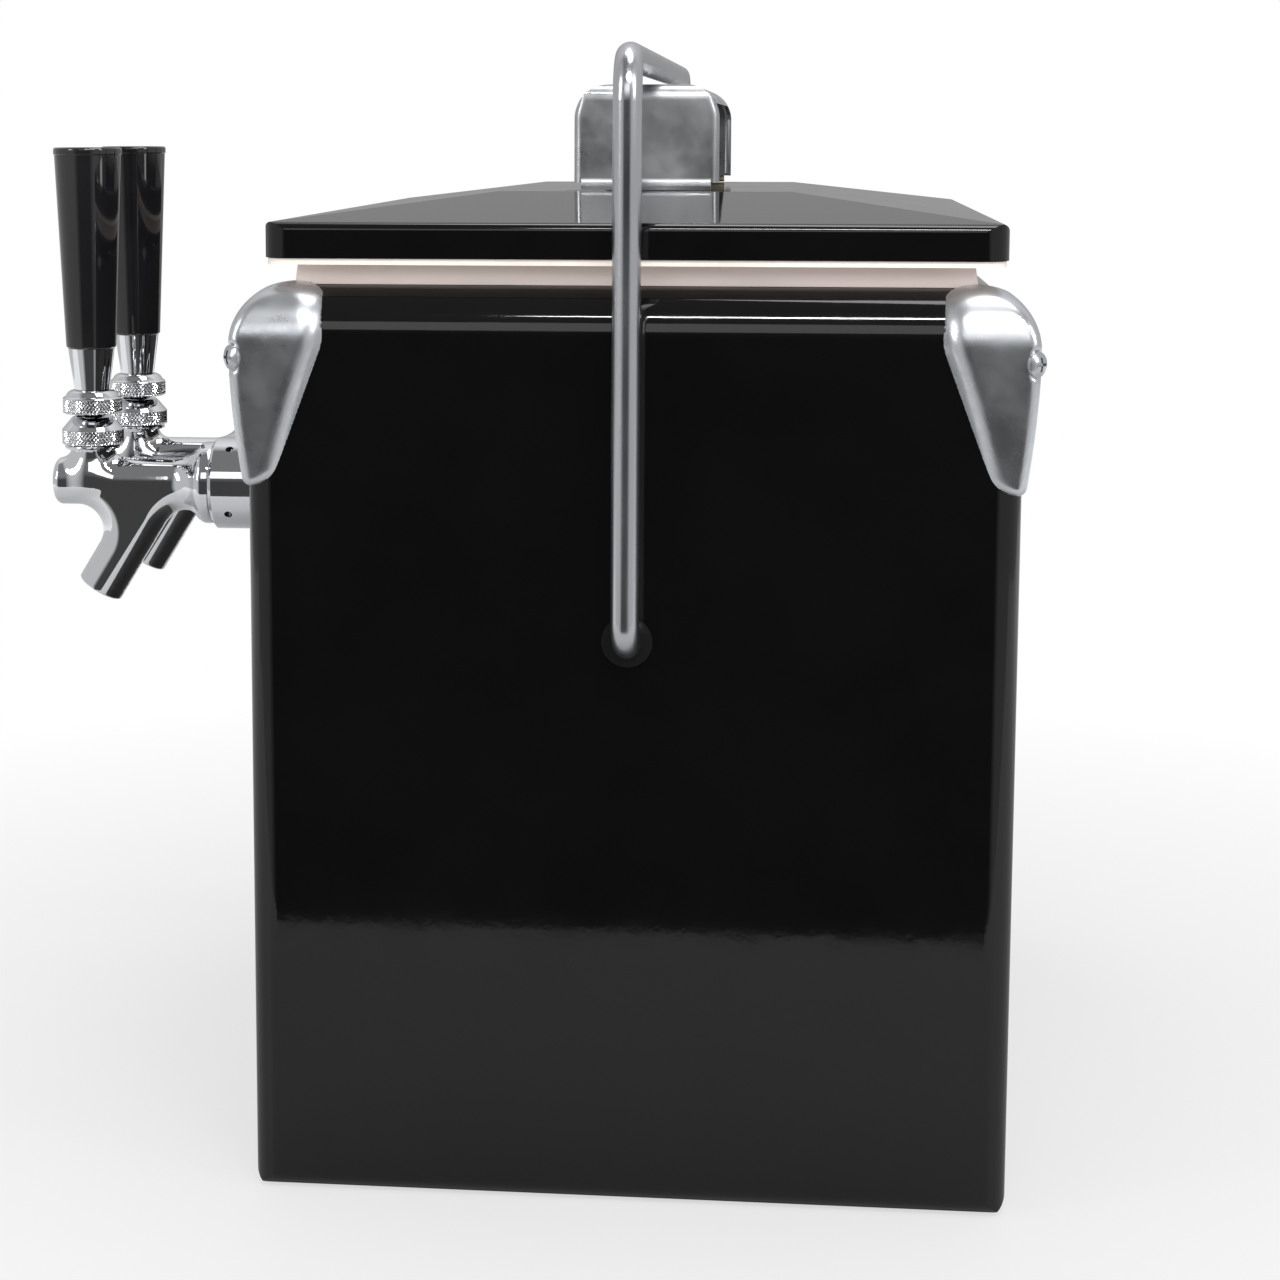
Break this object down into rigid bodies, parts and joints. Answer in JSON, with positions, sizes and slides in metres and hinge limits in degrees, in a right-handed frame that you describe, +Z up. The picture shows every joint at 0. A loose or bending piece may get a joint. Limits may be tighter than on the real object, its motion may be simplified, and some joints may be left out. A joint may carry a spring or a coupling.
{
  "type": "jockey box beer cooler",
  "caption": "Black steel picnic cooler used as a jockey box: chrome beer faucets with black handles on its front wall, chilling coils inside, a lift-off lid and a bail carry handle.",
  "frame": {"origin": "centre of the underside, where the cooler stands", "axes": "+Z up; -X towards the drinker, the way the faucets point; +Y to the left of someone who faces the faucets; the picture looks at the -Y end"},
  "size_m": [0.3871, 0.3975, 0.414],
  "materials": {
    "black_enamel": "high gloss",
    "foam": "matt",
    "liner_plastic": "semi-gloss",
    "cream_plastic": "semi-gloss",
    "cream_rubber": "matt",
    "satin_steel": "satin, slightly mottled",
    "dull_steel": "dull, mottled",
    "zinc_plate": "bright plated",
    "polished_chrome": "mirror polished",
    "coil_steel": "bright drawn",
    "handle_plastic": "high gloss",
    "black_nylon": "satin",
    "black_rubber": "matt"
  },
  "bodies": {
    "cabinet": {"outer_shell": "black_enamel", "foam_insulation": "foam", "inner_liner": "liner_plastic", "corner_cover_front_left": "satin_steel", "corner_cover_front_right": "satin_steel", "corner_cover_rear_left": "satin_steel", "corner_cover_rear_right": "satin_steel", "corner_screws": "zinc_plate", "pivot_bushing_left": "black_nylon", "pivot_bushing_right": "black_nylon", "coupling_washers": "black_rubber", "lock_washers": "black_rubber", "inlet_nuts": "zinc_plate", "inlet_washers": "black_rubber", "faucet_body_left": "polished_chrome", "bonnet_left": "polished_chrome", "coupling_nut_left": "polished_chrome", "shank_left": "polished_chrome", "wall_flange_left": "polished_chrome", "lock_nut_left": "zinc_plate", "tail_nut_left": "polished_chrome", "tail_elbow_left": "satin_steel", "coil_left": "coil_steel", "beer_inlet_left": "polished_chrome", "faucet_body_right": "polished_chrome", "bonnet_right": "polished_chrome", "coupling_nut_right": "polished_chrome", "shank_right": "polished_chrome", "wall_flange_right": "polished_chrome", "lock_nut_right": "zinc_plate", "tail_nut_right": "polished_chrome", "tail_elbow_right": "satin_steel", "coil_right": "coil_steel", "beer_inlet_right": "polished_chrome"},
    "carry_handle": {"carry_handle": "zinc_plate"},
    "lid": {"lid_shell": "black_enamel", "lid_foam": "foam", "lid_liner": "cream_plastic", "lid_gasket": "cream_rubber", "lid_strap": "dull_steel"},
    "tap_lever_left": {"lever_left": "polished_chrome", "lever_collar_left": "polished_chrome", "ferrule_left": "polished_chrome", "tap_handle_left": "handle_plastic"},
    "valve_left": {"valve_shaft_left": "satin_steel", "seat_washer_left": "black_rubber"},
    "tap_lever_right": {"lever_right": "polished_chrome", "lever_collar_right": "polished_chrome", "ferrule_right": "polished_chrome", "tap_handle_right": "handle_plastic"},
    "valve_right": {"valve_shaft_right": "satin_steel", "seat_washer_right": "black_rubber"}
  },
  "joints": [
    {"name": "handle_swing", "type": "hinge", "parent": "cabinet", "child": "carry_handle", "pos_m": [0, 0, 0.206], "axis": [0, 1, 0], "range_deg": [0, 135]},
    {"name": "lid_lift", "type": "slide", "parent": "cabinet", "child": "lid", "axis": [0, 0, 1], "range_m": [0, 0.00826]},
    {"name": "tap_pull_left", "type": "hinge", "parent": "cabinet", "child": "tap_lever_left", "pos_m": [-0.229, 0.0375, 0.2595], "axis": [0, -1, 0], "range_deg": [0, 22]},
    {"name": "valve_travel_left", "type": "slide", "parent": "cabinet", "child": "valve_left", "axis": [1, 0, 0], "range_m": [0, 0.0064]},
    {"name": "tap_pull_right", "type": "hinge", "parent": "cabinet", "child": "tap_lever_right", "pos_m": [-0.229, -0.0375, 0.2595], "axis": [0, -1, 0], "range_deg": [0, 22]},
    {"name": "valve_travel_right", "type": "slide", "parent": "cabinet", "child": "valve_right", "axis": [1, 0, 0], "range_m": [0, 0.0064]}
  ],
  "couplings": [
    {"joint": "lid_lift", "follows": "handle_swing", "m_per_rad": 0.0035},
    {"joint": "valve_travel_left", "follows": "tap_pull_left", "m_per_rad": 0.0166},
    {"joint": "valve_travel_right", "follows": "tap_pull_right", "m_per_rad": 0.0166}
  ]
}
